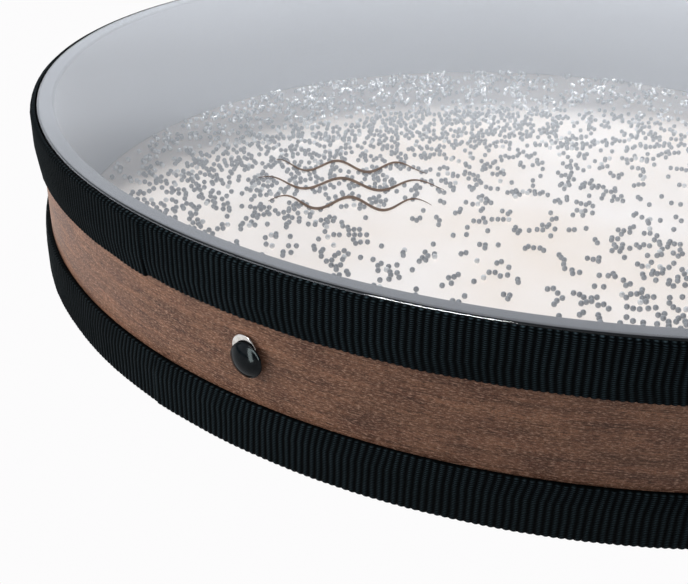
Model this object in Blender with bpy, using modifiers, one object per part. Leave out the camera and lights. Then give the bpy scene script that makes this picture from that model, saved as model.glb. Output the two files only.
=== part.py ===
# Wave drum: a bent plywood hoop closed by a clear head above and a cream head below, with a ribbed
# tape round each rim, a plugged filling port, and loose beads that roll on the lower head.
# Metres, +Z up. The origin is under the drum's centre, on the surface that it stands on.
# The port faces -Y.

import math
import random

import bmesh
import bpy
from mathutils import Matrix, Vector

# Hoop and heads
overall_height = 0.081
hoop_radius = 0.280
hoop_wall = 0.008
hoop_inner_chamfer = 0.001
film_thickness = 0.0003
skin_thickness = 0.0003
roll_radius = 0.0019
collar_height = 0.016
seat_gap = 0.0003

# Tapes: distances along the drum's height start at the nearer head's face
tape_width = 0.0224
tape_thickness = 0.0024
tape_setback = 0.0006
tape_rim_round = 0.0018
tape_edge_round = 0.0005
lap_length = 0.026
lap_step = 0.0007
lap_inset = 0.0014
lap_sink = 0.0006
top_lap_azimuth = math.radians(-10.5)
bottom_lap_azimuth = math.radians(-9.8)

# Filling port, a little above the hoop's middle: eyelet, clinch washer and plug
port_rise = 0.0047
port_bore_radius = 0.0027
eyelet_wall = 0.0006
flange_width = 0.0021
flange_thickness = 0.0008
lip_width = 0.0013
lip_thickness = 0.0006
washer_width = 0.0026
washer_thickness = 0.0008
plug_cap_radius = 0.0071
plug_cap_height = 0.0034
plug_rim_height = 0.0009
plug_cap_shift = Vector((0.0016, -0.0040, 0.0))
plug_reach = 0.0028
plug_nose = 0.0012

# Beads: the zones are rings about the drum's axis. Each bead is an icosahedron with its ball's volume
bead_diameter = 0.0030
bead_pitch_share = 0.9
bead_facet_share = 1.18
inner_zone_radius = 0.095
middle_zone_radius = 0.185
zone_clearance = 0.0012
zone_clusters = {"inner": 4, "middle": 9, "outer": 13}
fewest_beads = 2
most_beads = 7
far_azimuth = math.radians(240.0)
seed = 7

# Facets
hoop_steps = 96
port_steps = 32
corner_steps = 3
dome_steps = 4
lap_steps = 8
golden_angle = math.pi * (3 - math.sqrt(5))
smooth_below = math.radians(35)

hoop_inner_radius = hoop_radius - hoop_wall
port_height = overall_height / 2 + port_rise


def clear_scene():
    for obj in list(bpy.data.objects):
        bpy.data.objects.remove(obj)


def new_collection(name):
    collection = bpy.data.collections.new(name)
    bpy.context.scene.collection.children.link(collection)
    return collection


def new_material(name, color, roughness, metallic=0.0, transmission=0.0):
    material = bpy.data.materials.new(name)
    material.use_nodes = True
    shader = material.node_tree.nodes["Principled BSDF"]
    shader.inputs["Base Color"].default_value = (*color, 1.0)
    shader.inputs["Roughness"].default_value = roughness
    shader.inputs["Metallic"].default_value = metallic
    shader.inputs["Transmission Weight"].default_value = transmission
    material.diffuse_color = (*color, 1.0)
    return material


def new_object(name, mesh, collection, material=None, parent=None):
    obj = bpy.data.objects.new(name, mesh)
    collection.objects.link(obj)
    obj.parent = parent
    if material:
        mesh.materials.append(material)
    return obj


def hide_helper(obj):
    obj.hide_render = True
    obj.display_type = "WIRE"


def settle(obj):
    """Replaces the object's mesh by its evaluated one, shaded smooth with its corners sharp."""
    graph = bpy.context.evaluated_depsgraph_get()
    mesh = bpy.data.meshes.new_from_object(obj.evaluated_get(graph))
    mesh.name = obj.name
    obj.modifiers.clear()
    obj.data = mesh
    mesh.shade_smooth()
    mesh.set_sharp_from_angle(angle=smooth_below)


def arc(center, radius, start, end, steps=corner_steps):
    """Points of an arc, in degrees from the horizontal, both ends included."""
    points = []
    for step in range(steps + 1):
        angle = math.radians(start + (end - start) * step / steps)
        points.append((center[0] + radius * math.cos(angle), center[1] + radius * math.sin(angle)))
    return points


def turned(name, profile, closed, steps, collection, material=None, parent=None):
    """A profile of (radius, height) points turned about Z. Its outer side runs from top to bottom."""
    mesh = bpy.data.meshes.new(name)
    shape = bmesh.new()
    verts = [shape.verts.new((radius, 0.0, height)) for radius, height in profile]
    for first, second in zip(verts, verts[1:]):
        shape.edges.new((first, second))
    if closed:
        shape.edges.new((verts[-1], verts[0]))
    shape.to_mesh(mesh)
    shape.free()
    obj = new_object(name, mesh, collection, material, parent)
    screw = obj.modifiers.new("Turn", "SCREW")
    screw.steps = steps
    screw.render_steps = steps
    screw.use_merge_vertices = True
    screw.merge_threshold = 0.00005
    return obj


def joined(obj, other, operation):
    boolean = obj.modifiers.new(operation.title(), "BOOLEAN")
    boolean.object = other
    boolean.operation = operation
    return boolean


def at_face(profile, face):
    """Turns (radius, distance from the head's face) points into (radius, height) ones for that face."""
    if face == "top":
        return [(radius, overall_height - depth) for radius, depth in profile]
    return [(radius, depth) for radius, depth in reversed(profile)]


def collar_radius(thickness):
    """Outer radius of the collar of a head of that thickness."""
    return hoop_radius + seat_gap + thickness


def build_shell(collection, helpers, material):
    top = overall_height - film_thickness - seat_gap
    bottom = skin_thickness + seat_gap
    top_round = roll_radius - film_thickness - seat_gap
    bottom_round = roll_radius - skin_thickness - seat_gap
    profile = arc((hoop_radius - top_round, top - top_round), top_round, 90, 0)
    profile += arc((hoop_radius - bottom_round, bottom + bottom_round), bottom_round, 0, -90)
    profile += [
        (hoop_inner_radius + hoop_inner_chamfer, bottom),
        (hoop_inner_radius, bottom + hoop_inner_chamfer),
        (hoop_inner_radius, top - hoop_inner_chamfer),
        (hoop_inner_radius + hoop_inner_chamfer, top),
    ]
    shell = turned("shell", profile, True, hoop_steps, collection, material)
    drill_radius = port_bore_radius + eyelet_wall + seat_gap
    drill_mesh = bpy.data.meshes.new("port_drill")
    shape = bmesh.new()
    bmesh.ops.create_cone(
        shape,
        cap_ends=True,
        segments=port_steps,
        radius1=drill_radius,
        radius2=drill_radius,
        depth=4 * hoop_wall,
        matrix=Matrix.Rotation(math.pi / 2, 4, "X"),
    )
    shape.to_mesh(drill_mesh)
    shape.free()
    drill = new_object("port_drill", drill_mesh, helpers)
    drill.location = (0.0, -hoop_radius, port_height)
    hide_helper(drill)
    joined(shell, drill, "DIFFERENCE")
    return shell


def build_head(name, face, thickness, collection, material):
    """A stretched head: flat across the hoop, rolled over its edge, with a collar down its side."""
    outer = collar_radius(thickness)
    profile = [(0.0, 0.0)]
    for radius, height in arc((outer - roll_radius, -roll_radius), roll_radius, 90, 0):
        profile.append((radius, -height))
    profile.append((outer, collar_height))
    head = turned(name, at_face(profile, face), False, hoop_steps, collection, material)
    wall = head.modifiers.new("Wall", "SOLIDIFY")
    wall.thickness = thickness
    wall.offset = -1.0
    wall.use_even_offset = True
    return head


def lap_slab(name, face, azimuth, direction, outer, helpers):
    """The tape's outer end, which lies over its start and thins out into it along the lap."""
    near, far = tape_setback + lap_inset, tape_setback + tape_width - lap_inset
    low, high = (near, far) if face == "bottom" else (overall_height - far, overall_height - near)
    mesh = bpy.data.meshes.new(name)
    shape = bmesh.new()
    corners = [(outer - lap_sink, low), (outer, low), (outer, high), (outer - lap_sink, high)]
    start = Matrix.Rotation(azimuth, 3, "Z")
    verts = [shape.verts.new(start @ Vector((0.0, -radius, height))) for radius, height in corners]
    face_start = shape.faces.new(verts)
    sweep = direction * lap_length / outer
    geometry = [face_start, *face_start.edges, *face_start.verts]
    bmesh.ops.spin(shape, geom=geometry, axis=(0, 0, 1), angle=sweep, steps=lap_steps)
    under = outer - lap_sink / 2
    for vert in shape.verts:
        radius = vert.co.xy.length
        turned_by = math.atan2(vert.co.x, -vert.co.y) - azimuth
        share = min(1.0, abs(turned_by / sweep))
        if radius > under:
            vert.co.xy *= ((outer + lap_step) * (1 - share) + under * share) / radius
    bmesh.ops.recalc_face_normals(shape, faces=shape.faces)
    shape.to_mesh(mesh)
    shape.free()
    slab = new_object(name, mesh, helpers)
    hide_helper(slab)
    return slab


def build_tape(name, face, thickness, azimuth, direction, collection, helpers, material):
    """A tape over a head's collar. Past the collar's end it sits down on the hoop."""
    inner = collar_radius(thickness) + seat_gap
    outer = inner + tape_thickness
    near, far = tape_setback, tape_setback + tape_width
    rim_round = min(tape_rim_round, tape_thickness - seat_gap)
    profile = []
    for radius, height in arc((outer - rim_round, -near - rim_round), rim_round, 90, 0):
        profile.append((radius, -height))
    for radius, height in arc((outer - tape_edge_round, tape_edge_round - far), tape_edge_round, 0, -90, 1):
        profile.append((radius, -height))
    step_depth = collar_height + seat_gap
    profile += [
        (hoop_radius + seat_gap, far),
        (hoop_radius + seat_gap, step_depth),
        (inner, step_depth),
        (inner, near),
    ]
    tape = turned(name, at_face(profile, face), True, hoop_steps, collection, material)
    joined(tape, lap_slab(f"{name}_lap", face, azimuth, direction, outer, helpers), "UNION")
    return tape


def build_port(collection, helpers, metal, rubber):
    """Eyelet, clinch washer and plug, on an axis through the hoop's wall whose +Z points outwards."""
    axis = bpy.data.objects.new("port_axis", None)
    collection.objects.link(axis)
    axis.location = (0.0, -hoop_radius, port_height)
    axis.rotation_euler = (math.pi / 2, 0.0, 0.0)

    barrel = port_bore_radius + eyelet_wall
    flange = barrel + flange_width
    flange_top = seat_gap + flange_thickness
    washer_inner = barrel + seat_gap
    washer_outer = washer_inner + washer_width
    wall_inside = hoop_radius - math.sqrt(hoop_inner_radius**2 - washer_outer**2)
    washer_top = -wall_inside - seat_gap
    washer_bottom = washer_top - washer_thickness
    lip_top = washer_bottom - seat_gap
    lip_bottom = lip_top - lip_thickness
    lip_outer = barrel + lip_width

    half = flange_thickness / 2
    eyelet_profile = arc((port_bore_radius + half, flange_top - half), half, 180, 90)
    eyelet_profile += arc((flange - half, flange_top - half), half, 90, -90)
    eyelet_profile += [
        (barrel, seat_gap),
        (barrel, lip_top),
        (lip_outer, lip_top),
        (lip_outer, lip_bottom),
        (port_bore_radius, lip_bottom),
    ]
    turned("port_eyelet", eyelet_profile, True, port_steps, collection, metal, axis)

    washer_profile = [
        (washer_inner, washer_top),
        (washer_outer, washer_top),
        (washer_outer, washer_bottom),
        (washer_inner, washer_bottom),
    ]
    turned("port_washer", washer_profile, True, port_steps, collection, metal, axis)

    stem = port_bore_radius - seat_gap
    cap_bottom = flange_top + seat_gap
    cap_middle = cap_bottom + plug_rim_height / 2
    stem_bottom = lip_bottom - plug_reach
    stem_profile = [
        (0.0, cap_middle),
        (stem, cap_middle),
        (stem, stem_bottom),
        (stem - plug_nose, stem_bottom - plug_nose),
        (0.0, stem_bottom - plug_nose),
    ]
    plug = turned("port_plug", stem_profile, False, port_steps, collection, rubber, axis)
    rim = plug_rim_height / 2
    dome_rise = plug_cap_height - plug_rim_height
    dome_base = plug_cap_radius - rim
    dome_radius = (dome_base**2 + dome_rise**2) / (2 * dome_rise)
    dome_angle = math.degrees(math.asin(dome_base / dome_radius))
    dome_center = (0.0, cap_bottom + plug_cap_height - dome_radius)
    cap_profile = arc(dome_center, dome_radius, 90, 90 - dome_angle, dome_steps)
    cap_profile[0] = (0.0, cap_bottom + plug_cap_height)
    cap_profile += arc((plug_cap_radius - rim, cap_bottom + rim), rim, 45, -90)
    cap_profile.append((0.0, cap_bottom))
    cap = turned("port_plug_cap", cap_profile, False, port_steps, helpers)
    cap.parent = axis
    cap.location = plug_cap_shift
    hide_helper(cap)
    joined(plug, cap, "UNION")


def bead_cells(count, rng):
    """Neighbouring cells of a hexagonal lattice, grown one at a time from the middle."""
    steps = [(1, 0), (0, 1), (-1, 1), (-1, 0), (0, -1), (1, -1)]
    cells = [(0, 0)]
    while len(cells) < count:
        base = rng.choice(cells[-2:])
        step = rng.choice(steps)
        cell = (base[0] + step[0], base[1] + step[1])
        if cell not in cells:
            cells.append(cell)
    return cells


def bead_mesh(name, places, radius):
    mesh = bpy.data.meshes.new(name)
    shape = bmesh.new()
    for place in places:
        bmesh.ops.create_icosphere(shape, subdivisions=1, radius=radius, matrix=Matrix.Translation(place))
    shape.to_mesh(mesh)
    shape.free()
    return mesh


def build_cluster(name, count, ring, share, azimuth, rng, collection, helpers, material, parent):
    """Beads that touch, joined where they touch, at a share of the way out across their ring."""
    facet_radius = bead_facet_share * bead_diameter / 2
    pitch = bead_pitch_share * bead_diameter
    places = [
        Vector((pitch * (column + 0.5 * row), pitch * math.sqrt(0.75) * row, 0.0))
        for column, row in bead_cells(count, rng)
    ]
    middle = sum(places, Vector()) / count
    turn = Matrix.Rotation(rng.uniform(0, math.pi), 3, "Z")
    places = [turn @ (place - middle) for place in places]
    reach = max(place.length for place in places) + facet_radius + zone_clearance / 2
    low, high = ring[0] + reach, ring[1] - reach
    distance = math.sqrt(low**2 + share * (high**2 - low**2))
    center = Vector(
        (
            distance * math.sin(azimuth),
            -distance * math.cos(azimuth),
            skin_thickness + seat_gap + facet_radius,
        )
    )
    places = [center + place for place in places]
    cluster = new_object(name, bead_mesh(name, places[:-1], facet_radius), collection, material, parent)
    last = new_object(f"{name}_last", bead_mesh(f"{name}_last", places[-1:], facet_radius), helpers)
    hide_helper(last)
    joined(cluster, last, "UNION").use_self = True


def build_beads(collection, helpers, steel, glass):
    rng = random.Random(seed)
    rings = {
        "inner": (0.0, inner_zone_radius),
        "middle": (inner_zone_radius, middle_zone_radius),
        "outer": (middle_zone_radius, hoop_inner_radius),
    }
    placed = 0
    for zone, ring in rings.items():
        axis = bpy.data.objects.new(f"{zone}_beads_axis", None)
        collection.objects.link(axis)
        total = zone_clusters[zone]
        clear_one = total // 2
        for index in range(total):
            azimuth = placed * golden_angle
            placed += 1
            farness = 0.5 + 0.5 * math.cos(azimuth - far_azimuth)
            count = round(fewest_beads + (most_beads - fewest_beads) * farness)
            share = (index + 0.5) / total
            build_cluster(
                f"steel_beads_{zone}_{index + 1:02d}",
                count, ring, share, azimuth, rng, collection, helpers, steel, axis,
            )
            if index == clear_one:
                build_cluster(
                    f"clear_beads_{zone}",
                    fewest_beads, ring, share, azimuth + math.pi, rng, collection, helpers, glass, axis,
                )


def main():
    clear_scene()
    drum = new_collection("wave_drum")
    helpers = new_collection("cutters")
    wood = new_material("walnut_ply", (0.20, 0.105, 0.07), 0.45)
    film = new_material("clear_film", (0.95, 0.96, 0.97), 0.05, transmission=1.0)
    skin = new_material("cream_skin", (0.87, 0.82, 0.77), 0.6)
    webbing = new_material("black_webbing", (0.012, 0.014, 0.016), 0.85)
    nickel = new_material("bright_nickel", (0.80, 0.77, 0.74), 0.2, metallic=1.0)
    rubber = new_material("black_plug", (0.012, 0.014, 0.016), 0.25)
    steel = new_material("bead_steel", (0.36, 0.37, 0.38), 0.3, metallic=1.0)
    glass = new_material("bead_glass", (0.92, 0.92, 0.90), 0.05, transmission=1.0)

    build_shell(drum, helpers, wood)
    build_head("top_head", "top", film_thickness, drum, film)
    build_head("bottom_head", "bottom", skin_thickness, drum, skin)
    build_tape("top_webbing", "top", film_thickness, top_lap_azimuth, -1, drum, helpers, webbing)
    build_tape("bottom_webbing", "bottom", skin_thickness, bottom_lap_azimuth, 1, drum, helpers, webbing)
    build_port(drum, helpers, nickel, rubber)
    build_beads(drum, helpers, steel, glass)
    bpy.context.view_layer.update()
    for obj in drum.objects:
        if obj.type == "MESH":
            settle(obj)


main()
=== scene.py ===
# Wave drum: its looks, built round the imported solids.
# Metres, +Z up. The filling port faces -Y, and azimuths are counted from there towards +X.

import math
import random

import bmesh
import bpy
from mathutils import Matrix, Vector, noise


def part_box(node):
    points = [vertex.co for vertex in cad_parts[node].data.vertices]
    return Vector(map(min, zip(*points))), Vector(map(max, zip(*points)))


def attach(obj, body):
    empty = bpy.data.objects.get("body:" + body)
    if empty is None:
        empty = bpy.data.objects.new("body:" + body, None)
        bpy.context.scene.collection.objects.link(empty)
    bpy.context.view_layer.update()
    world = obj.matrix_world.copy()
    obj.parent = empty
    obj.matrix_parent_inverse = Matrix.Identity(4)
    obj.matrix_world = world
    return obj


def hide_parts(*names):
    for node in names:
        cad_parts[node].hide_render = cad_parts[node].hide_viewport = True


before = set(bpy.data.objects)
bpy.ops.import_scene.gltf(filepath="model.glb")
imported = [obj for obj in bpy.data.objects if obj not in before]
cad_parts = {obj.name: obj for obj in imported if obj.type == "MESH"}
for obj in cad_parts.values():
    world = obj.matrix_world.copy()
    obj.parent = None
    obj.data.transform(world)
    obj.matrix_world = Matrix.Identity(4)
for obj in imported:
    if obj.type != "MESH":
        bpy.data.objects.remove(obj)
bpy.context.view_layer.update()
scene = bpy.context.scene
scene.view_settings.view_transform = "Standard"
scene.cycles.caustics_refractive = False

shellLow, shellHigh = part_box("shell")
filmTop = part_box("top_head")[1].z
skinLow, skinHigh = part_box("bottom_head")
seatGap = 0.0003
hoopRadius = shellHigh.x
portHeight = sum(corner.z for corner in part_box("port_eyelet")) / 2
portMatrix = Matrix.Translation((0.0, -hoopRadius, portHeight)) @ Matrix.Rotation(math.pi / 2, 4, "X")


def smoothStep(low, high, value):
    share = min(1.0, max(0.0, (value - low) / (high - low)))
    return share * share * (3 - 2 * share)


def azimuthOf(point):
    return math.atan2(point.x, -point.y)


def arcPoints(centre, radius, start, end, steps):
    angles = [math.radians(start + (end - start) * step / steps) for step in range(steps + 1)]
    return [(centre[0] + radius * math.cos(a), centre[1] + radius * math.sin(a)) for a in angles]


def spinProfile(points, steps, closed):
    # turns (radius, height) points about Z: one sector is spun, then doubled until it goes all round
    shape = bmesh.new()
    verts = [shape.verts.new((radius, 0.0, height)) for radius, height in points]
    edges = [shape.edges.new(pair) for pair in zip(verts, verts[1:])]
    if closed:
        edges.append(shape.edges.new((verts[-1], verts[0])))
    doublings = 0
    while steps % 2 == 0 and steps > 40:
        steps //= 2
        doublings += 1
    angle = 2 * math.pi / 2**doublings
    bmesh.ops.spin(
        shape, geom=verts + edges, cent=(0, 0, 0), axis=(0, 0, 1), angle=angle, steps=steps, use_merge=doublings == 0
    )
    for doubling in range(doublings):
        copied = bmesh.ops.duplicate(shape, geom=shape.verts[:] + shape.edges[:] + shape.faces[:])["geom"]
        turned = [item for item in copied if isinstance(item, bmesh.types.BMVert)]
        bmesh.ops.rotate(shape, cent=(0, 0, 0), matrix=Matrix.Rotation(angle * 2**doubling, 3, "Z"), verts=turned)
    bmesh.ops.remove_doubles(shape, verts=shape.verts, dist=1e-5)
    bmesh.ops.recalc_face_normals(shape, faces=shape.faces)
    return shape


def wrapUv(shape, radius):
    # u runs round the drum and v up it, both in metres; the seam is at the back
    layer = shape.loops.layers.uv.new("wrap")
    for face in shape.faces:
        middle = azimuthOf(face.calc_center_median())
        for loop in face.loops:
            turn = (azimuthOf(loop.vert.co) - middle + math.pi) % (2 * math.pi) - math.pi
            loop[layer].uv = ((middle + turn) * radius, loop.vert.co.z)


def finishPiece(name, shape, material, body, slot, *nodes, sharpAngle=40):
    mesh = bpy.data.meshes.new(name)
    shape.to_mesh(mesh)
    shape.free()
    mesh.materials.append(material)
    mesh.shade_smooth()
    mesh.set_sharp_from_angle(angle=math.radians(sharpAngle))
    piece = bpy.data.objects.new(name, mesh)
    scene.collection.objects.link(piece)
    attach(piece, body)
    if nodes:
        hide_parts(*nodes)
    print("made", name, len(mesh.polygons), "faces")
    return piece


# Materials


def newMaterial(name, colour, roughness, metallic=0.0):
    material = bpy.data.materials.new(name)
    material.use_nodes = True
    shader = material.node_tree.nodes["Principled BSDF"]
    shader.inputs["Base Color"].default_value = (*colour, 1)
    shader.inputs["Roughness"].default_value = roughness
    shader.inputs["Metallic"].default_value = metallic
    material.diffuse_color = (*colour, 1)
    return material, material.node_tree, shader


def addNode(tree, kind, **values):
    node = tree.nodes.new(kind)
    for key, value in values.items():
        if hasattr(node, key):
            setattr(node, key, value)
        else:
            node.inputs[key.replace("_", " ")].default_value = value
    return node


def coordinates(tree, scale, useWrap=True, turn=(0, 0, 0)):
    if useWrap:
        source = addNode(tree, "ShaderNodeUVMap", uv_map="wrap").outputs["UV"]
    else:
        source = tree.nodes.new("ShaderNodeTexCoord").outputs["Object"]
    mapping = addNode(tree, "ShaderNodeMapping", Scale=scale, Rotation=turn)
    tree.links.new(source, mapping.inputs["Vector"])
    return mapping.outputs["Vector"]


def noiseOf(tree, vector, scale=1.0, detail=3.0, roughness=0.5):
    node = addNode(tree, "ShaderNodeTexNoise", Scale=scale, Detail=detail, Roughness=roughness)
    tree.links.new(vector, node.inputs["Vector"])
    return node.outputs["Fac"]


def rampOf(tree, fac, *stops):
    node = tree.nodes.new("ShaderNodeValToRGB")
    elements = node.color_ramp.elements
    while len(elements) < len(stops):
        elements.new(0.5)
    for element, (place, colour) in zip(elements, stops):
        element.position = place
        element.color = (*colour, 1) if len(colour) == 3 else colour
    tree.links.new(fac, node.inputs["Fac"])
    return node.outputs["Color"]


def grey(value):
    return (value, value, value)


def blendOf(tree, fac, first, second, how="MIX"):
    node = tree.nodes.new("ShaderNodeMix")
    node.data_type = "RGBA"
    node.blend_type = how
    if isinstance(fac, float):
        node.inputs["Factor"].default_value = fac
    else:
        tree.links.new(fac, node.inputs["Factor"])
    for socket, source in ((node.inputs[6], first), (node.inputs[7], second)):
        if isinstance(source, tuple):
            socket.default_value = (*source, 1)
        else:
            tree.links.new(source, socket)
    return node.outputs[2]


def mathOf(tree, operation, first, second=None):
    node = addNode(tree, "ShaderNodeMath", operation=operation)
    for socket, source in zip(node.inputs, (first, second)):
        if source is None:
            continue
        if isinstance(source, (int, float)):
            socket.default_value = source
        else:
            tree.links.new(source, socket)
    return node.outputs[0]


def addBump(tree, shader, height, strength, distance):
    node = addNode(tree, "ShaderNodeBump", Strength=strength, Distance=distance)
    tree.links.new(height, node.inputs["Height"])
    tree.links.new(node.outputs["Normal"], shader.inputs["Normal"])


def rangeOf(tree, fac, low, high):
    node = addNode(tree, "ShaderNodeMapRange", To_Min=low, To_Max=high)
    tree.links.new(fac, node.inputs["Value"])
    return node.outputs["Result"]


def walnutPly():
    # stained veneer: blotches, then light flecks, dark pores and thin lines that run along the hoop
    look = {
        "deep": (0.118, 0.050, 0.030),
        "base": (0.252, 0.122, 0.072),
        "fleck": (0.52, 0.320, 0.225),
        "pore": (0.042, 0.017, 0.010),
        "edgeTop": (0.175, 0.175, 0.182),
        "edgeDepth": 0.00005,
        "inside": (0.40, 0.41, 0.43),
        "rollShade": (0.008, 0.010, 0.012),
        "slant": 0.06,
    }
    material, tree, shader = newMaterial("walnutPly", look["base"], 0.45)
    slant = (0, 0, look["slant"])
    blotch = noiseOf(tree, coordinates(tree, (50, 120, 1)), detail=4, roughness=0.6)
    flecks = noiseOf(tree, coordinates(tree, (620, 1900, 1), turn=slant), detail=3, roughness=0.65)
    pores = noiseOf(tree, coordinates(tree, (300, 2100, 7)), detail=2, roughness=0.6)
    grain = noiseOf(tree, coordinates(tree, (22, 420, 3), turn=(0, 0, -0.02)), detail=4, roughness=0.65)
    lines = noiseOf(tree, coordinates(tree, (40, 1400, 5), turn=(0, 0, -0.02)), detail=2)
    wood = rampOf(tree, blotch, (0.34, look["deep"]), (0.62, look["base"]))
    speck = noiseOf(tree, coordinates(tree, (1900, 3000, 1)), detail=3, roughness=0.8)
    wood = blendOf(tree, 1.0, wood, rampOf(tree, grain, (0.35, grey(0.62)), (0.65, grey(1.25))), "MULTIPLY")
    wood = blendOf(tree, 1.0, wood, rampOf(tree, speck, (0.36, grey(0.45)), (0.64, grey(1.60))), "MULTIPLY")
    wood = blendOf(tree, rampOf(tree, flecks, (0.50, grey(0)), (0.66, grey(0.9))), wood, look["fleck"])
    poreMask = rampOf(tree, pores, (0.53, grey(0)), (0.66, grey(0.8)))
    wood = blendOf(tree, poreMask, wood, look["pore"])
    wood = blendOf(tree, rampOf(tree, lines, (0.58, grey(0)), (0.70, grey(0.6))), wood, look["pore"])
    parts = addNode(tree, "ShaderNodeSeparateXYZ")
    tree.links.new(coordinates(tree, (1, 1, 1), useWrap=False), parts.inputs["Vector"])
    reach = addNode(tree, "ShaderNodeVectorMath", operation="LENGTH")
    tree.links.new(coordinates(tree, (1, 1, 0), useWrap=False), reach.inputs[0])
    radius = reach.outputs["Value"]
    # partly painted light: the inside face is coloured a pale blue-grey, much lighter than the wood, standing in for
    # the film's bluish reflection and the light bounced inside the drum
    inside = mathOf(tree, "LESS_THAN", radius, hoopRadius - hoop["wall"] + 1.1 * hoop["innerChamfer"])
    wood = blendOf(tree, inside, wood, look["inside"])
    # painted shade: the rounded outer top edge under the film's roll is coloured near black, for the shade in the
    # gap below the roll
    onRound = mathOf(tree, "GREATER_THAN", radius, hoopRadius - hoop["edgeRound"])
    underRoll = mathOf(tree, "GREATER_THAN", parts.outputs["Z"], shellHigh.z - 2 * hoop["edgeRound"])
    wood = blendOf(tree, mathOf(tree, "MULTIPLY", onRound, underRoll), wood, look["rollShade"])
    onTop = mathOf(tree, "GREATER_THAN", parts.outputs["Z"], shellHigh.z - look["edgeDepth"])
    atChamfer = mathOf(tree, "GREATER_THAN", parts.outputs["Z"], shellHigh.z - 1.1 * hoop["innerChamfer"])
    onTop = mathOf(tree, "MAXIMUM", onTop, mathOf(tree, "MULTIPLY", inside, atChamfer))
    tree.links.new(blendOf(tree, onTop, wood, look["edgeTop"]), shader.inputs["Base Color"])
    tree.links.new(rangeOf(tree, blotch, 0.38, 0.58), shader.inputs["Roughness"])
    shader.inputs["Specular IOR Level"].default_value = 0.26
    addBump(tree, shader, mathOf(tree, "SUBTRACT", flecks, mathOf(tree, "MULTIPLY", poreMask, 0.6)), 0.3, 0.0002)
    return material


def clearFilm():
    # mirrors as both faces of a thin polyester film do, and lets the rest through unbent
    look = {"headOn": 0.053, "tint": (0.965, 0.975, 0.985)}
    material, tree, shader = newMaterial("clearFilm", look["tint"], 0.02)
    tree.nodes.remove(shader)
    facing = tree.nodes.new("ShaderNodeLayerWeight")
    facing.inputs["Blend"].default_value = 0.5
    lift = mathOf(tree, "MULTIPLY", mathOf(tree, "POWER", facing.outputs["Facing"], 5.0), 1 - look["headOn"])
    share = mathOf(tree, "ADD", lift, look["headOn"])
    through = addNode(tree, "ShaderNodeBsdfTransparent", Color=(*look["tint"], 1))
    mirror = addNode(tree, "ShaderNodeBsdfGlossy", Color=(0.98, 0.985, 1.0, 1), Roughness=0.03)
    mixed = tree.nodes.new("ShaderNodeMixShader")
    tree.links.new(share, mixed.inputs["Fac"])
    tree.links.new(through.outputs[0], mixed.inputs[1])
    tree.links.new(mirror.outputs[0], mixed.inputs[2])
    tree.links.new(mixed.outputs[0], tree.nodes["Material Output"].inputs["Surface"])
    return material


def creamSkin():
    look = {"pale": (0.90, 0.820, 0.758), "warm": (0.845, 0.728, 0.630)}
    material, tree, shader = newMaterial("creamSkin", look["pale"], 0.55)
    cloud = noiseOf(tree, coordinates(tree, (9, 9, 9), useWrap=False), detail=3)
    tree.links.new(
        rampOf(tree, cloud, (0.38, look["pale"]), (0.66, look["warm"])), shader.inputs["Base Color"]
    )
    fibre = noiseOf(tree, coordinates(tree, (700, 700, 700), useWrap=False), detail=4)
    tree.links.new(rangeOf(tree, cloud, 0.48, 0.62), shader.inputs["Roughness"])
    addBump(tree, shader, fibre, 0.15, 0.0001)
    return material


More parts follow.
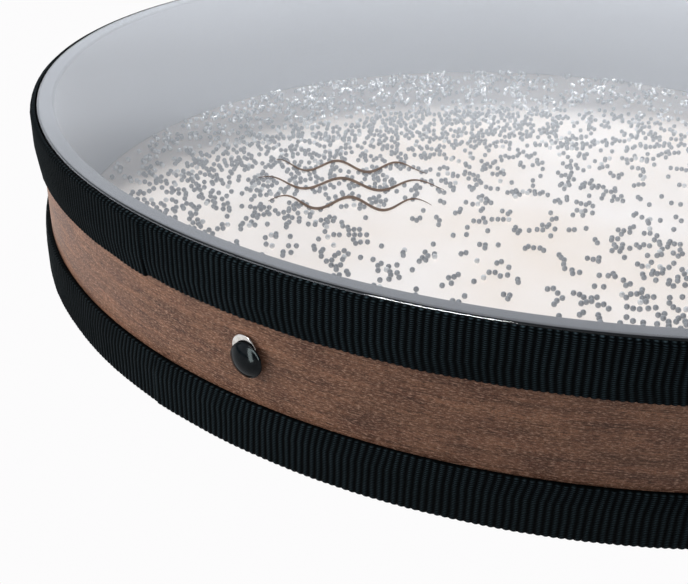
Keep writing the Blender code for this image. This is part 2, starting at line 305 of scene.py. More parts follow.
def blackWebbing():
    # each rib is wound with fine threads; the mesh's "ridge" attribute is 1 on a rib's crest. The crests are
    # coloured lighter than the near-black valleys: partly the threads' own colour, partly a painted highlight along
    # the crests
    look = {
        "valley": (0.0003, 0.0006, 0.0008),
        "litThread": (0.018, 0.028, 0.033),
        "threadPitch": 0.00072,
        "jitter": 6.0,
        "frontRightGain": 2.3,
    }
    material, tree, shader = newMaterial("blackWebbing", look["valley"], 0.6)
    across = addNode(tree, "ShaderNodeSeparateXYZ")
    tree.links.new(coordinates(tree, (1, 1, 1)), across.inputs["Vector"])
    jitter = noiseOf(tree, coordinates(tree, (420, 240, 1)), detail=2)
    turns = mathOf(tree, "MULTIPLY", across.outputs["Y"], math.tau / look["threadPitch"])
    wave = mathOf(tree, "SINE", mathOf(tree, "ADD", turns, mathOf(tree, "MULTIPLY", jitter, look["jitter"])))
    threads = mathOf(tree, "ADD", mathOf(tree, "MULTIPLY", wave, 0.5), 0.5)
    wear = rangeOf(tree, noiseOf(tree, coordinates(tree, (30, 60, 1)), detail=3), 0.5, 1.2)
    ridge = addNode(tree, "ShaderNodeAttribute", attribute_name="ridge").outputs["Fac"]
    # painted highlight, partly thread colour: the lighter colour gathers on the rib crests
    lit = mathOf(tree, "MULTIPLY", mathOf(tree, "MULTIPLY", threads, wear), mathOf(tree, "POWER", ridge, 3.0))
    fuzz = noiseOf(tree, coordinates(tree, (2600, 2600, 1)), detail=3, roughness=0.7)
    # the rib pattern turns to specks on the left, and the colour rises up to 2.3 times from the left-front to the
    # front and stays so round the right
    leftFlat = addNode(tree, "ShaderNodeMapRange", From_Min=-0.14, From_Max=-0.25)
    frontRightGain = addNode(tree, "ShaderNodeMapRange", From_Min=-0.12, From_Max=-0.01, To_Min=1.0, To_Max=look["frontRightGain"])
    for node in (leftFlat, frontRightGain):
        tree.links.new(across.outputs["X"], node.inputs["Value"])
    specks = addNode(tree, "ShaderNodeMapRange", From_Min=0.42, From_Max=0.68, To_Max=0.9)
    tree.links.new(fuzz, specks.inputs["Value"])
    flat = mathOf(tree, "MULTIPLY", leftFlat.outputs["Result"], 0.75)
    ribs = mathOf(tree, "MULTIPLY", lit, mathOf(tree, "SUBTRACT", 1.0, flat))
    lit = mathOf(tree, "ADD", ribs, mathOf(tree, "MULTIPLY", specks.outputs["Result"], flat))
    colour = blendOf(tree, lit, look["valley"], look["litThread"])
    shade = addNode(tree, "ShaderNodeVectorMath", operation="SCALE")
    tree.links.new(colour, shade.inputs[0])
    tree.links.new(frontRightGain.outputs["Result"], shade.inputs["Scale"])
    tree.links.new(shade.outputs["Vector"], shader.inputs["Base Color"])
    tree.links.new(rangeOf(tree, fuzz, 0.5, 0.8), shader.inputs["Roughness"])
    shader.inputs["Specular IOR Level"].default_value = 0.03
    addBump(tree, shader, mathOf(tree, "ADD", threads, mathOf(tree, "MULTIPLY", fuzz, 0.4)), 0.8, 0.0003)
    return material


def brightNickel():
    look = {"bright": (0.80, 0.78, 0.75), "dull": (0.62, 0.58, 0.54)}
    material, tree, shader = newMaterial("brightNickel", look["bright"], 0.18, metallic=1.0)
    tarnish = noiseOf(tree, coordinates(tree, (420, 420, 420), useWrap=False), detail=4)
    tree.links.new(
        rampOf(tree, tarnish, (0.42, look["bright"]), (0.72, look["dull"])), shader.inputs["Base Color"]
    )
    tree.links.new(rangeOf(tree, tarnish, 0.12, 0.32), shader.inputs["Roughness"])
    return material


def blackPlug():
    look = {"moulded": (0.0050, 0.0075, 0.0095), "scuffed": (0.012, 0.0155, 0.0180)}
    material, tree, shader = newMaterial("blackPlug", look["moulded"], 0.14)
    shader.inputs["Specular IOR Level"].default_value = 0.10
    scuff = noiseOf(tree, coordinates(tree, (650, 650, 650), useWrap=False), detail=5, roughness=0.7)
    tree.links.new(
        rampOf(tree, scuff, (0.52, look["moulded"]), (0.74, look["scuffed"])), shader.inputs["Base Color"]
    )
    tree.links.new(rangeOf(tree, scuff, 0.09, 0.20), shader.inputs["Roughness"])
    return material


def beadSteel():
    look = {"clean": (0.29, 0.300, 0.312), "dull": (0.19, 0.198, 0.208)}
    material, tree, shader = newMaterial("beadSteel", look["clean"], 0.38, metallic=0.25)
    tarnish = noiseOf(tree, coordinates(tree, (260, 260, 260), useWrap=False), detail=1)
    tree.links.new(
        rampOf(tree, tarnish, (0.35, look["dull"]), (0.65, look["clean"])), shader.inputs["Base Color"]
    )
    tree.links.new(rangeOf(tree, tarnish, 0.26, 0.42), shader.inputs["Roughness"])
    return material


def beadGlass():
    # milky with scratches, so only a little clear
    look = {"clear": (0.84, 0.84, 0.835), "grey": (0.68, 0.68, 0.68)}
    material, tree, shader = newMaterial("beadGlass", look["clear"], 0.06)
    shader.inputs["Transmission Weight"].default_value = 0.2
    shader.inputs["IOR"].default_value = 1.5
    cloud = noiseOf(tree, coordinates(tree, (200, 200, 200), useWrap=False), detail=1)
    tree.links.new(
        rampOf(tree, cloud, (0.4, look["clear"]), (0.7, look["grey"])), shader.inputs["Base Color"]
    )
    return material


def brownInk():
    look = {"full": (0.075, 0.041, 0.023), "thin": (0.17, 0.105, 0.068)}
    material, tree, shader = newMaterial("brownInk", look["full"], 0.5)
    patch = noiseOf(tree, coordinates(tree, (260, 260, 260), useWrap=False), detail=4, roughness=0.7)
    tree.links.new(
        rampOf(tree, patch, (0.45, look["full"]), (0.75, look["thin"])), shader.inputs["Base Color"]
    )
    return material


# Hoop

hoop = {
    "wall": 0.008,
    "edgeRound": 0.0013,
    "innerChamfer": 0.001,
    "steps": 576,
    "portRadius": 0.0036,
    "cutterSides": 64,
}


def makeHoop(material):
    inner = hoopRadius - hoop["wall"]
    top, bottom, edge, chamfer = shellHigh.z, shellLow.z, hoop["edgeRound"], hoop["innerChamfer"]
    points = arcPoints((hoopRadius - edge, top - edge), edge, 90, 0, 5)
    wallRows = 6
    for row in range(1, wallRows):
        points.append((hoopRadius, top - edge + (bottom - top + 2 * edge) * row / wallRows))
    points += arcPoints((hoopRadius - edge, bottom + edge), edge, 0, -90, 5)
    points += [(inner + chamfer, bottom), (inner, bottom + chamfer), (inner, top - chamfer), (inner + chamfer, top)]
    shape = spinProfile(points, hoop["steps"], closed=True)
    wrapUv(shape, hoopRadius)
    piece = finishPiece("hoop", shape, material, "drum", "walnut_shell", "shell")
    drill = bmesh.new()
    bmesh.ops.create_cone(
        drill, cap_ends=True, segments=hoop["cutterSides"], radius1=hoop["portRadius"], radius2=hoop["portRadius"],
        depth=4 * hoop["wall"], matrix=portMatrix,
    )
    drillMesh = bpy.data.meshes.new("portDrill")
    drill.to_mesh(drillMesh)
    drill.free()
    cutter = bpy.data.objects.new("portDrill", drillMesh)
    scene.collection.objects.link(cutter)
    cut = piece.modifiers.new("Port", "BOOLEAN")
    cut.object = cutter
    graph = bpy.context.evaluated_depsgraph_get()
    bored = bpy.data.meshes.new_from_object(piece.evaluated_get(graph))
    piece.modifiers.clear()
    piece.data = bored
    bored.set_sharp_from_angle(angle=math.radians(40))
    bpy.data.objects.remove(cutter)
    return piece


# Heads

head = {"thickness": 0.0003, "roll": 0.0019, "collar": 0.016, "steps": 576, "rollSteps": 9}


def headShape(faceHeight, sign):
    # faceHeight is the outer face's height, and sign points out of the drum there
    thick, roll = head["thickness"], head["roll"]
    outer = hoopRadius + seatGap + thick
    over = [(0.0, 0.0), (0.5 * outer, 0.0)]
    over += [(r, -h) for r, h in arcPoints((outer - roll, -roll), roll, 90, 0, head["rollSteps"])]
    over.append((outer, head["collar"]))
    under = [(0.0, thick), (0.5 * outer, thick)]
    under += [(r, -h) for r, h in arcPoints((outer - roll, -roll), roll - thick, 90, 0, head["rollSteps"])]
    under.append((outer - thick, head["collar"]))
    points = [(radius, faceHeight - sign * depth) for radius, depth in over + under[::-1]]
    return spinProfile(points, head["steps"], closed=False)


def makeHeads(film, skin):
    finishPiece("topFilm", headShape(filmTop, 1), film, "drum", "clear_film", "top_head", sharpAngle=50)
    finishPiece("bottomSkin", headShape(skinLow.z, -1), skin, "drum", "cream_skin", "bottom_head", sharpAngle=50)


# Tapes

tape = {
    "inner": 0.2809,
    "hoopInner": 0.2803,
    "thickness": 0.0024,
    "width": 0.0224,
    "setback": 0.0006,
    "stepDepth": 0.0163,
    "rimRound": 0.0018,
    "edgeRound": 0.0007,
    "ribs": 672,
    "columnsPerRib": 6,
    "ribDepth": 0.00045,
    "ribWander": 0.00035,
    "kink": 0.0011,
    "tuck": 0.0008,
    "scallop": 0.0002,
    "swell": 0.00022,
    "edgeWave": 0.00030,
    "lapLength": 0.026,
    "lapStep": 0.0006,
}


def tapeShape():
    # depth counts down from the nearer head's face
    inner, outer = tape["inner"], tape["inner"] + tape["thickness"]
    near, far = tape["setback"], tape["setback"] + tape["width"]
    rim, edge = tape["rimRound"], tape["edgeRound"]
    points = [(r, -h) for r, h in arcPoints((outer - rim, -near - rim), rim, 90, 0, 4)]
    rows = 6
    for row in range(1, rows):
        points.append((outer, near + rim + (far - edge - near - rim) * row / rows))
    points += [(r, -h) for r, h in arcPoints((outer - edge, edge - far), edge, 0, -90, 3)]
    points += [
        (tape["hoopInner"], far), (tape["hoopInner"], tape["stepDepth"]), (inner, tape["stepDepth"]), (inner, near)
    ]
    steps = tape["ribs"] * tape["columnsPerRib"]
    return spinProfile([(radius, -depth) for radius, depth in points], steps, closed=True)


def weaveTape(shape, seed, lapAzimuth, lapSide, dropAzimuth):
    # ribs, the lap's proud end, and the slow unevenness of a tape laid by hand
    outer = tape["inner"] + tape["thickness"]
    far = -(tape["setback"] + tape["width"])
    near = -tape["setback"]
    pitch = 2 * math.pi / tape["ribs"]
    lapTurn = tape["lapLength"] / outer
    crests = shape.verts.layers.float.new("ridge")
    for vert in shape.verts:
        radius = vert.co.xy.length
        proud = (radius - tape["inner"]) / tape["thickness"]
        if proud <= 0.02:
            continue
        around = azimuthOf(vert.co)
        depth = vert.co.z
        direction = vert.co.xy.normalized()
        slow = noise.noise((11 * direction.x, 11 * direction.y, seed))
        quick = noise.noise((70 * direction.x, 70 * direction.y, 40 * depth + seed))
        tucked = smoothStep(0.0006 - tape["stepDepth"], far, depth)
        wander = tape["ribWander"] * noise.noise((35 * direction.x, 35 * direction.y, 120 * depth + seed))
        wander -= tape["kink"] * tucked * (1 + slow)
        phase = ((around + wander / outer) / pitch) % 1.0
        ridge = math.sin(math.pi * phase)
        vert[crests] = ridge
        rise = tape["ribDepth"] * (ridge - 1) + tape["swell"] * (slow + 0.6 * quick) - tape["tuck"] * tucked
        past = lapSide * (around - lapAzimuth)
        if 0 <= past < lapTurn:
            rise += tape["lapStep"] * (1 - past / lapTurn)
        radius += rise * min(1.0, proud)
        vert.co.x, vert.co.y = direction.x * radius, direction.y * radius
        drop = tape["edgeWave"] * noise.noise((16 * direction.x, 16 * direction.y, seed + 5))
        drop += tape["scallop"] * (ridge - 1) * -1
        lowShare = smoothStep(far + 0.006, far, depth)
        highShare = smoothStep(near - 0.004, near, depth)
        vert.co.z += drop * lowShare - tape["scallop"] * (1 - ridge) * highShare
        if dropAzimuth is not None and -dropAzimuth[1] < around - lapAzimuth < 0:
            vert.co.z -= dropAzimuth[0] * lowShare


def makeTape(name, node, material, faceHeight, sign, seed, lapAzimuth, lapSide, dropAzimuth=None):
    shape = tapeShape()
    weaveTape(shape, seed, math.radians(lapAzimuth), lapSide, dropAzimuth)
    if sign < 0:
        bmesh.ops.scale(shape, vec=(1, 1, -1), verts=shape.verts)
    bmesh.ops.translate(shape, vec=(0, 0, faceHeight), verts=shape.verts)
    bmesh.ops.recalc_face_normals(shape, faces=shape.faces)
    wrapUv(shape, tape["inner"])
    return finishPiece(name, shape, material, "drum", "black_webbing", node, sharpAngle=75)


# Filling port

port = {
    "bore": 0.0027,
    "barrel": 0.0033,
    "flange": 0.0054,
    "flangeThick": 0.0008,
    "lip": 0.0046,
    "washerInner": 0.0036,
    "washerOuter": 0.0062,
    "washerTop": -0.00837,
    "washerThick": 0.0008,
    "lipThick": 0.0006,
    "stem": 0.0024,
    "stemEnd": -0.01287,
    "nose": 0.0012,
    "capRadius": 0.0071,
    "capHeight": 0.0034,
    "capRim": 0.0009,
    "capShift": (0.0016, -0.0040, 0.0),
    "steps": 96,
}


def makePort(nickel, black):
    flangeTop = seatGap + port["flangeThick"]
    half = port["flangeThick"] / 2
    lipTop = port["washerTop"] - port["washerThick"] - seatGap
    lipEnd = lipTop - port["lipThick"]
    lipHalf = port["lipThick"] / 2
    points = arcPoints((port["bore"] + half, flangeTop - half), half, 180, 90, 5)
    points += arcPoints((port["flange"] - half, flangeTop - half), half, 90, -90, 8)
    points += [(port["barrel"], seatGap), (port["barrel"], lipTop)]
    points += arcPoints((port["lip"] - lipHalf, lipTop - lipHalf), lipHalf, 90, -90, 5)
    points.append((port["bore"], lipEnd))
    shape = spinProfile(points, port["steps"], closed=True)
    bmesh.ops.transform(shape, matrix=portMatrix, verts=shape.verts)
    finishPiece("eyelet", shape, nickel, "drum", "bright_nickel", "port_eyelet")

    top, low = port["washerTop"], port["washerTop"] - port["washerThick"]
    chamfer = 0.0002
    points = [
        (port["washerInner"], top), (port["washerOuter"] - chamfer, top), (port["washerOuter"], top - chamfer),
        (port["washerOuter"], low + chamfer), (port["washerOuter"] - chamfer, low), (port["washerInner"], low),
    ]
    shape = spinProfile(points, port["steps"], closed=True)
    bmesh.ops.transform(shape, matrix=portMatrix, verts=shape.verts)
    finishPiece("clinchWasher", shape, nickel, "drum", "bright_nickel", "port_washer")

    capLow = flangeTop + seatGap
    rim = port["capRim"] / 2
    rise = port["capHeight"] - port["capRim"]
    base = port["capRadius"] - rim
    domeRadius = (base**2 + rise**2) / (2 * rise)
    domeAngle = math.degrees(math.asin(base / domeRadius))
    points = arcPoints((0.0, capLow + port["capHeight"] - domeRadius), domeRadius, 90, 90 - domeAngle, 14)
    points[0] = (0.0, points[0][1])
    points += arcPoints((base, capLow + rim), rim, 60, -90, 8)
    points.append((0.0, capLow))
    cap = spinProfile(points, port["steps"], closed=False)
    bmesh.ops.translate(cap, vec=port["capShift"], verts=cap.verts)
    capMesh = bpy.data.meshes.new("plugCap")
    cap.to_mesh(capMesh)
    cap.free()
    stemTop = capLow + rim
    points = [
        (0.0, stemTop), (port["stem"], stemTop), (port["stem"], port["stemEnd"]),
        (port["stem"] - port["nose"], port["stemEnd"] - port["nose"]), (0.0, port["stemEnd"] - port["nose"]),
    ]
    shape = spinProfile(points, port["steps"], closed=False)
    shape.from_mesh(capMesh)
    bpy.data.meshes.remove(capMesh)
    bmesh.ops.transform(shape, matrix=portMatrix, verts=shape.verts)
    return finishPiece("portPlug", shape, black, "plug", "black_plug", "port_plug", sharpAngle=50)


# Beads

beads = {
    "radius": 0.0015,
    "lift": 0.0001,
    "segments": 8,
    "rings": 5,
    "tries": 60000,
    "clusterSizes": (1, 1, 1, 1, 1, 2, 2, 3, 3, 4, 7),
    "snug": 0.62,
    "clearShare": 0.09,
    "edge": 0.2700,
    "zones": {"inner": 0.095, "middle": 0.185, "outer": 0.2715},
    "spacing": 0.00302,
    "sparse": 0.029,
    "crowded": 0.22,
    "crowdHeading": 156.0,
    "shadeHeading": 129.0,
    "shadeWidth": 0.098,
    "shadeThinned": 0.64,
    "shadeClear": 0.50,
    "patch": (0.125, -0.065, 0.055, 0.07),
}


def shadeShare(x, y):
    # 1 in the crescent that the hoop's cast shadow covers on the head; painted light: fewer balls go there and more
    # of them are pale clear ones, standing in for the light the balls catch in that shade
    turn, width = math.radians(beads["shadeHeading"]), beads["shadeWidth"]
    reach = math.hypot(x + width * math.cos(turn), y + width * math.sin(turn)) - beads["zones"]["outer"]
    return smoothStep(-0.006, 0.012, reach)


def beadDensity(x, y):
    # the drum was last tipped to one side, and the beads are crowded there
    crowd = math.radians(beads["crowdHeading"])
    along = x * math.cos(crowd) + y * math.sin(crowd)
    density = beads["sparse"] + beads["crowded"] * smoothStep(0.01, 0.21, along)
    patchX, patchY, patchSize, patchDensity = beads["patch"]
    density += patchDensity * math.exp(-((x - patchX) ** 2 + (y - patchY) ** 2) / patchSize**2)
    # painted light: fewer balls in the hoop's shadow, so the shade there stays smooth
    return density * (1 - beads["shadeThinned"] * shadeShare(x, y))


def scatterBeads():
    rng = random.Random(22)
    spacing = beads["spacing"]
    cells = {}
    places = []

    def isFree(x, y):
        column, row = int(x // spacing), int(y // spacing)
        for i in range(column - 1, column + 2):
            for j in range(row - 1, row + 2):
                for other in cells.get((i, j), ()):
                    if (other[0] - x) ** 2 + (other[1] - y) ** 2 < spacing**2 * 0.998:
                        return False
        return True

    def zoneOf(x, y):
        distance = math.hypot(x, y)
        low = 0.0
        for zone, high in beads["zones"].items():
            margin = beads["radius"] + 0.0001
            if low + (margin if low else 0) <= distance <= high - margin:
                return zone
            low = high
        return None

    def place(x, y):
        zone = zoneOf(x, y)
        if zone is None or not isFree(x, y):
            return False
        cells.setdefault((int(x // spacing), int(y // spacing)), []).append((x, y))
        places.append((x, y, zone))
        return True

    for _ in range(beads["tries"]):
        radius = beads["edge"] * math.sqrt(rng.random())
        turn = math.tau * rng.random()
        x, y = radius * math.cos(turn), radius * math.sin(turn)
        if rng.random() > beadDensity(x, y) or not place(x, y):
            continue
        members = [(x, y)]
        for _ in range(rng.choice(beads["clusterSizes"]) - 1):
            x, y = rng.choice(members[-3:])
            reach = spacing * (1 if rng.random() < beads["snug"] else rng.uniform(1.05, 1.6))
            heading = math.tau * rng.random()
            x += reach * math.cos(heading)
            y += reach * math.sin(heading)
            if place(x, y):
                members.append((x, y))
    # painted light: more pale clear balls in the hoop's shadow, standing in for light the balls catch there
    low, high = beads["clearShare"], beads["shadeClear"]
    return [(x, y, zone, rng.random() < low + (high - low) * shadeShare(x, y)) for x, y, zone in places]


def repeatedMesh(ball, places):
    # one mesh that holds a copy of the ball at each place
    count = len(ball.vertices)
    corners = [vert.co.copy() for vert in ball.vertices]
    sides = [tuple(polygon.vertices) for polygon in ball.polygons]
    verts = [corner + Vector(place) for place in places for corner in corners]
    faces = [tuple(index + number * count for index in side) for number in range(len(places)) for side in sides]
    mesh = bpy.data.meshes.new("balls")
    mesh.from_pydata(verts, [], faces)
    return mesh


def makeBeads(steel, glass):
    height = skinLow.z + head["thickness"] + beads["lift"] + beads["radius"]
    scattered = scatterBeads()
    sphere = bmesh.new()
    bmesh.ops.create_uvsphere(
        sphere, u_segments=beads["segments"], v_segments=beads["rings"], radius=beads["radius"]
    )
    ball = bpy.data.meshes.new("ball")
    sphere.to_mesh(ball)
    sphere.free()
    print("beads", len(scattered))
    pieces = []
    for zone in beads["zones"]:
        for isClear, prefix, material, slot in (
            (False, "steelBeads", steel, "bead_steel"), (True, "clearBeads", glass, "bead_glass")
        ):
            places = [(x, y, height) for x, y, home, clear in scattered if home == zone and clear == isClear]
            shape = bmesh.new()
            shape.from_mesh(repeatedMesh(ball, places))
            start = f"clear_beads_{zone}" if isClear else f"steel_beads_{zone}"
            nodes = [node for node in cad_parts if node.startswith(start)]
            piece = finishPiece(
                prefix + zone.title(), shape, material, f"{zone}_beads", slot, *nodes, sharpAngle=180
            )
            piece.visible_shadow = False  # the light is too soft for such small balls to throw a shadow
            pieces.append(piece)
    return pieces


# Print on the upper head: three stacked waves that taper to both ends

waves = {
    "centre": (-0.0071, -0.2047),
    "turn": 33.7,
    "width": 0.074,
    "rowGap": 0.019,
    "rows": 3,
    "swing": 0.0058,
    "crests": 2.5,
    "stroke": 0.0026,
    "thickness": 0.00008,
    "points": 72,
}


def makeWaves(ink):
    shape = bmesh.new()
    turn = Matrix.Rotation(math.radians(waves["turn"]), 3, "Z")
    for row in range(waves["rows"]):
        offset = (row - (waves["rows"] - 1) / 2) * waves["rowGap"]
        span = waves["width"] * (1 - 0.16 * abs(row - 1))
        sides = []
        for side in (-1, 1):
            line = []
            for index in range(waves["points"] + 1):
                share = index / waves["points"]
                x = (share - 0.5) * span
                y = offset + waves["swing"] * math.sin(math.tau * waves["crests"] * share + 0.7 * row)
                half = 0.5 * waves["stroke"] * (0.12 + math.sin(math.pi * share) ** 0.8)
                place = turn @ Vector((x, y + side * half, 0))
                line.append(
                    shape.verts.new((place.x + waves["centre"][0], place.y + waves["centre"][1], filmTop + 0.00002))
                )
            sides.append([shape.edges.new(pair) for pair in zip(line, line[1:])])
        bmesh.ops.bridge_loops(shape, edges=sides[0] + sides[1])
    for face in shape.faces:
        if face.normal.z < 0:
            face.normal_flip()
    extruded = bmesh.ops.extrude_face_region(shape, geom=list(shape.faces))
    lifted = [item for item in extruded["geom"] if isinstance(item, bmesh.types.BMVert)]
    bmesh.ops.translate(shape, vec=(0, 0, waves["thickness"]), verts=lifted)
    bmesh.ops.recalc_face_normals(shape, faces=shape.faces)
    return finishPiece("wavePrint", shape, ink, "drum", None)


# Floor, lights and camera

stageLook = {
    "floorSize": 12.0,
    "floorColour": (0.34, 0.34, 0.345),
    "backdrop": (0.974, 0.969, 0.974),
    "ambient": 0.31,
    "screenHeading": 125.0,
    "screenColour": (0.93, 0.965, 1.02),
    "screenLow": 0.99,
    "screenPeak": 1.15,
    "screenHigh": 0.99,
    "frontHeading": -140.0,
    "frontGlow": 1.3,
    "frontTilt": (-60.0, 0.5),
    "roomGlow": 0.06,
    "floorMirrored": 0.85,
}


def makeStage():
    shape = bmesh.new()
    bmesh.ops.create_grid(shape, x_segments=1, y_segments=1, size=stageLook["floorSize"] / 2)
    mesh = bpy.data.meshes.new("floor")
    shape.to_mesh(mesh)
    shape.free()
    floor = bpy.data.objects.new("floor", mesh)
    floor.location.z = -0.0002
    scene.collection.objects.link(floor)
    material, tree, shader = newMaterial("floorWhite", stageLook["floorColour"], 0.9)
    shader.inputs["Specular IOR Level"].default_value = 0.0
    glow = addNode(tree, "ShaderNodeEmission", Color=(*stageLook["backdrop"], 1), Strength=1.0)
    path = tree.nodes.new("ShaderNodeLightPath")
    mirrored = mathOf(tree, "MULTIPLY", path.outputs["Is Glossy Ray"], stageLook["floorMirrored"])
    mixed = tree.nodes.new("ShaderNodeMixShader")
    tree.links.new(mathOf(tree, "MAXIMUM", path.outputs["Is Camera Ray"], mirrored), mixed.inputs["Fac"])
    tree.links.new(shader.outputs[0], mixed.inputs[1])
    tree.links.new(glow.outputs[0], mixed.inputs[2])
    tree.links.new(mixed.outputs[0], tree.nodes["Material Output"].inputs["Surface"])
    mesh.materials.append(material)


def makeRoom():
    # a dim room; what is shiny mirrors a pale screen behind the drum and a fainter one in front at the left
    world = bpy.data.worlds.new("studio")
    scene.world = world
    world.use_nodes = True
    tree = world.node_tree
    background = tree.nodes["Background"]
    toward = tree.nodes.new("ShaderNodeTexCoord").outputs["Generated"]
    parts = addNode(tree, "ShaderNodeSeparateXYZ")
    tree.links.new(toward, parts.inputs["Vector"])

    def ramped(source, start, end, low=0.0, high=1.0):
        node = addNode(tree, "ShaderNodeMapRange", From_Min=start, From_Max=end, To_Min=low, To_Max=high)
        tree.links.new(source, node.inputs["Value"])
        return node.outputs["Result"]

    def facing(heading):
        turn = math.radians(heading)
        return mathOf(
            tree, "ADD", mathOf(tree, "MULTIPLY", parts.outputs["X"], math.cos(turn)),
            mathOf(tree, "MULTIPLY", parts.outputs["Y"], math.sin(turn)),
        )

    height = parts.outputs["Z"]
    behind = ramped(facing(stageLook["screenHeading"]), 0.25, 0.97)
    behind = mathOf(
        tree, "MULTIPLY", behind, ramped(height, 0.255, 0.31, stageLook["screenLow"], stageLook["screenPeak"])
    )
    fade = ramped(height, 0.325, 0.365, 1.0, stageLook["screenHigh"] / stageLook["screenPeak"])
    behind = mathOf(tree, "MULTIPLY", behind, fade)
    behind = mathOf(tree, "MULTIPLY", behind, ramped(height, 0.55, 0.66, 1.0, 0.0))
    tiltHeading, tilt = stageLook["frontTilt"]
    tilted = mathOf(tree, "SUBTRACT", height, mathOf(tree, "MULTIPLY", facing(tiltHeading), tilt))
    front = ramped(facing(stageLook["frontHeading"]), 0.45, 0.8, 0.0, stageLook["frontGlow"])
    front = mathOf(tree, "MULTIPLY", front, ramped(tilted, 0.54, 0.62, 1.0, 0.0))
    front = mathOf(tree, "MULTIPLY", front, ramped(height, 0.12, 0.22))
    mirrored = mathOf(tree, "ADD", mathOf(tree, "ADD", behind, front), stageLook["roomGlow"])
    path = tree.nodes.new("ShaderNodeLightPath")
    shiny = mathOf(tree, "MAXIMUM", path.outputs["Is Glossy Ray"], path.outputs["Is Transmission Ray"])
    strength = tree.nodes.new("ShaderNodeMix")
    tree.links.new(shiny, strength.inputs["Factor"])
    strength.inputs["A"].default_value = stageLook["ambient"]
    tree.links.new(mirrored, strength.inputs["B"])
    colour = blendOf(tree, path.outputs["Is Camera Ray"], stageLook["screenColour"], stageLook["backdrop"])
    tree.links.new(colour, background.inputs["Color"])
    tree.links.new(
        mathOf(tree, "MAXIMUM", strength.outputs["Result"], path.outputs["Is Camera Ray"]),
        background.inputs["Strength"],
    )


lights = {
    # heading and rise in degrees, distance, disc's diameter or panel's sides, power, and whether it is mirrored
    "keyLight": (129.0, 38.0, 5.0, 1.25, 392.0, False),
    "frontLight": (-150.0, 16.0, 2.4, 1.3, 47.0, False),
    "sideLight": (-35.0, 14.0, 2.4, 0.9, 5.0, False),
    "rimPanel": (-91.0, 47.0, 2.4, (0.88, 0.6), 24.0, True),
}

# the strip's ends are counted from the port's middle
plugStrip = {"top": (-0.005, -0.057, 0.045), "bottom": (0.020, -0.0705, -0.017), "width": 0.018, "power": 0.07}
glint = {
    "target": (-0.15, 0.165, 0.0),
    "heading": 129.0,
    "rise": 62.0,
    "distance": 1.2,
    "size": (0.50, 0.13),
    "spread": 9.0,
    "power": 0.85,
}


def linkLight(name, *receivers):
    # the lamp lights these pieces alone, and nothing stands in its way
    catchers = bpy.data.collections.new(name + "Catchers")
    for piece in receivers:
        catchers.objects.link(piece)
    lamp = bpy.data.objects[name]
    lamp.light_linking.receiver_collection = catchers
    lamp.light_linking.blocker_collection = catchers
    lamp.visible_camera = False


def makeLights():
    target = Vector((0, 0, 0.04))
    for name, (heading, rise, distance, size, power, isMirrored) in lights.items():
        turn, lift = math.radians(heading), math.radians(rise)
        away = Vector((math.cos(turn) * math.cos(lift), math.sin(turn) * math.cos(lift), math.sin(lift)))
        light = bpy.data.lights.new(name, "AREA")
        light.shape = "RECTANGLE" if isinstance(size, tuple) else "DISK"
        light.size = size[0] if isinstance(size, tuple) else size
        if light.shape == "RECTANGLE":
            light.size_y = size[1]
        light.energy = power
        lamp = bpy.data.objects.new(name, light)
        facing = away.to_track_quat("Z", "Y").to_matrix().to_4x4()
        lamp.matrix_world = Matrix.Translation(target + distance * away) @ facing
        lamp.visible_glossy = isMirrored
        lamp.visible_diffuse = not isMirrored
        scene.collection.objects.link(lamp)


def makeStrip(plug):
    # a tall narrow light close to the plug, which only its dome mirrors
    port = Vector((0, -hoopRadius, portHeight))
    top, bottom = port + Vector(plugStrip["top"]), port + Vector(plugStrip["bottom"])
    light = bpy.data.lights.new("plugStrip", "AREA")
    light.shape = "RECTANGLE"
    light.size, light.size_y = plugStrip["width"], (top - bottom).length
    light.energy = plugStrip["power"]
    light.color = (0.84, 1.0, 1.0)
    lamp = bpy.data.objects.new("plugStrip", light)
    place = (top + bottom) / 2
    along = (top - bottom).normalized()
    across = along.cross(place - port).normalized()
    turned = Matrix((across, along, across.cross(along))).transposed()
    lamp.matrix_world = Matrix.Translation(place) @ turned.to_4x4()
    lamp.visible_diffuse = False
    scene.collection.objects.link(lamp)
    linkLight("plugStrip", plug)


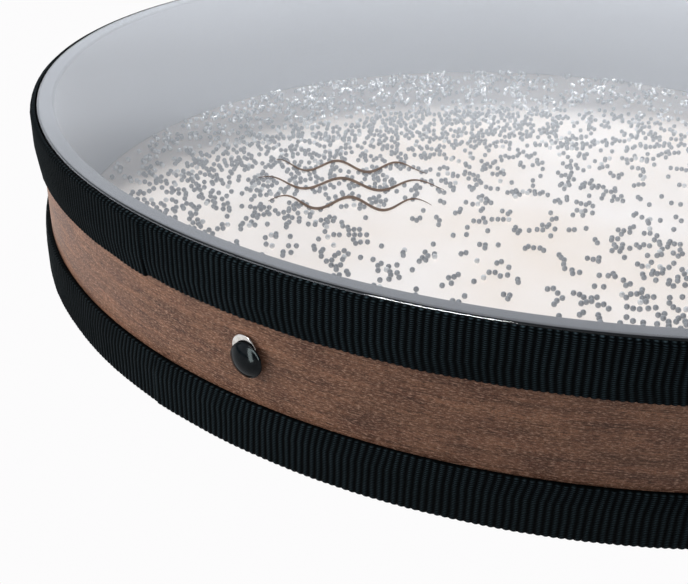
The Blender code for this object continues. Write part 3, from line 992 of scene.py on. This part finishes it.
def makeGlint(ballPieces):
    # balls gather light from everywhere, even where the hoop shades the head: a lamp of their own stands in
    turn, lift = math.radians(glint["heading"]), math.radians(glint["rise"])
    away = Vector((math.cos(turn) * math.cos(lift), math.sin(turn) * math.cos(lift), math.sin(lift)))
    light = bpy.data.lights.new("glint", "AREA")
    light.shape = "RECTANGLE"
    light.size, light.size_y = glint["size"]
    light.spread = math.radians(glint["spread"])
    light.energy = glint["power"]
    lamp = bpy.data.objects.new("glint", light)
    place = Vector(glint["target"]) + glint["distance"] * away
    lamp.matrix_world = Matrix.Translation(place) @ away.to_track_quat("Z", "Y").to_matrix().to_4x4()
    lamp.visible_glossy = False
    scene.collection.objects.link(lamp)
    linkLight("glint", *ballPieces)


view = {
    "azimuth": 21.10,
    "distance": 0.550785,
    "rise": 0.153459,
    "yaw": -12.72,
    "pitch": 28.591,
    "roll": 1.369,
    "focal": 1007.03,
    "imageWidth": 688,
}


def makeCamera():
    data = bpy.data.cameras.new("camera")
    data.sensor_width = 36.0
    data.lens = view["focal"] / view["imageWidth"] * data.sensor_width
    data.clip_start = 0.01
    camera = bpy.data.objects.new("camera", data)
    scene.collection.objects.link(camera)
    around = math.radians(view["azimuth"])
    place = Vector(
        (view["distance"] * math.sin(around), -view["distance"] * math.cos(around), filmTop + view["rise"])
    )
    heading = around - math.radians(view["yaw"])
    camera.matrix_world = (
        Matrix.Translation(place)
        @ Matrix.Rotation(heading, 4, "Z")
        @ Matrix.Rotation(math.radians(90 - view["pitch"]), 4, "X")
        @ Matrix.Rotation(math.radians(view["roll"]), 4, "Z")
    )
    scene.camera = camera


makeCamera()
makeStage()
makeRoom()
makeLights()
print("stage ready")
makeHoop(walnutPly())
makeHeads(clearFilm(), creamSkin())
webbing = blackWebbing()
makeTape("topTape", "top_webbing", webbing, filmTop, 1, 3.0, -10.0, -1, (0.0009, 0.4))
makeTape("bottomTape", "bottom_webbing", webbing, skinLow.z, -1, 8.0, -9.7, 1)
makeStrip(makePort(brightNickel(), blackPlug()))
makeGlint(makeBeads(beadSteel(), beadGlass()))
makeWaves(brownInk())
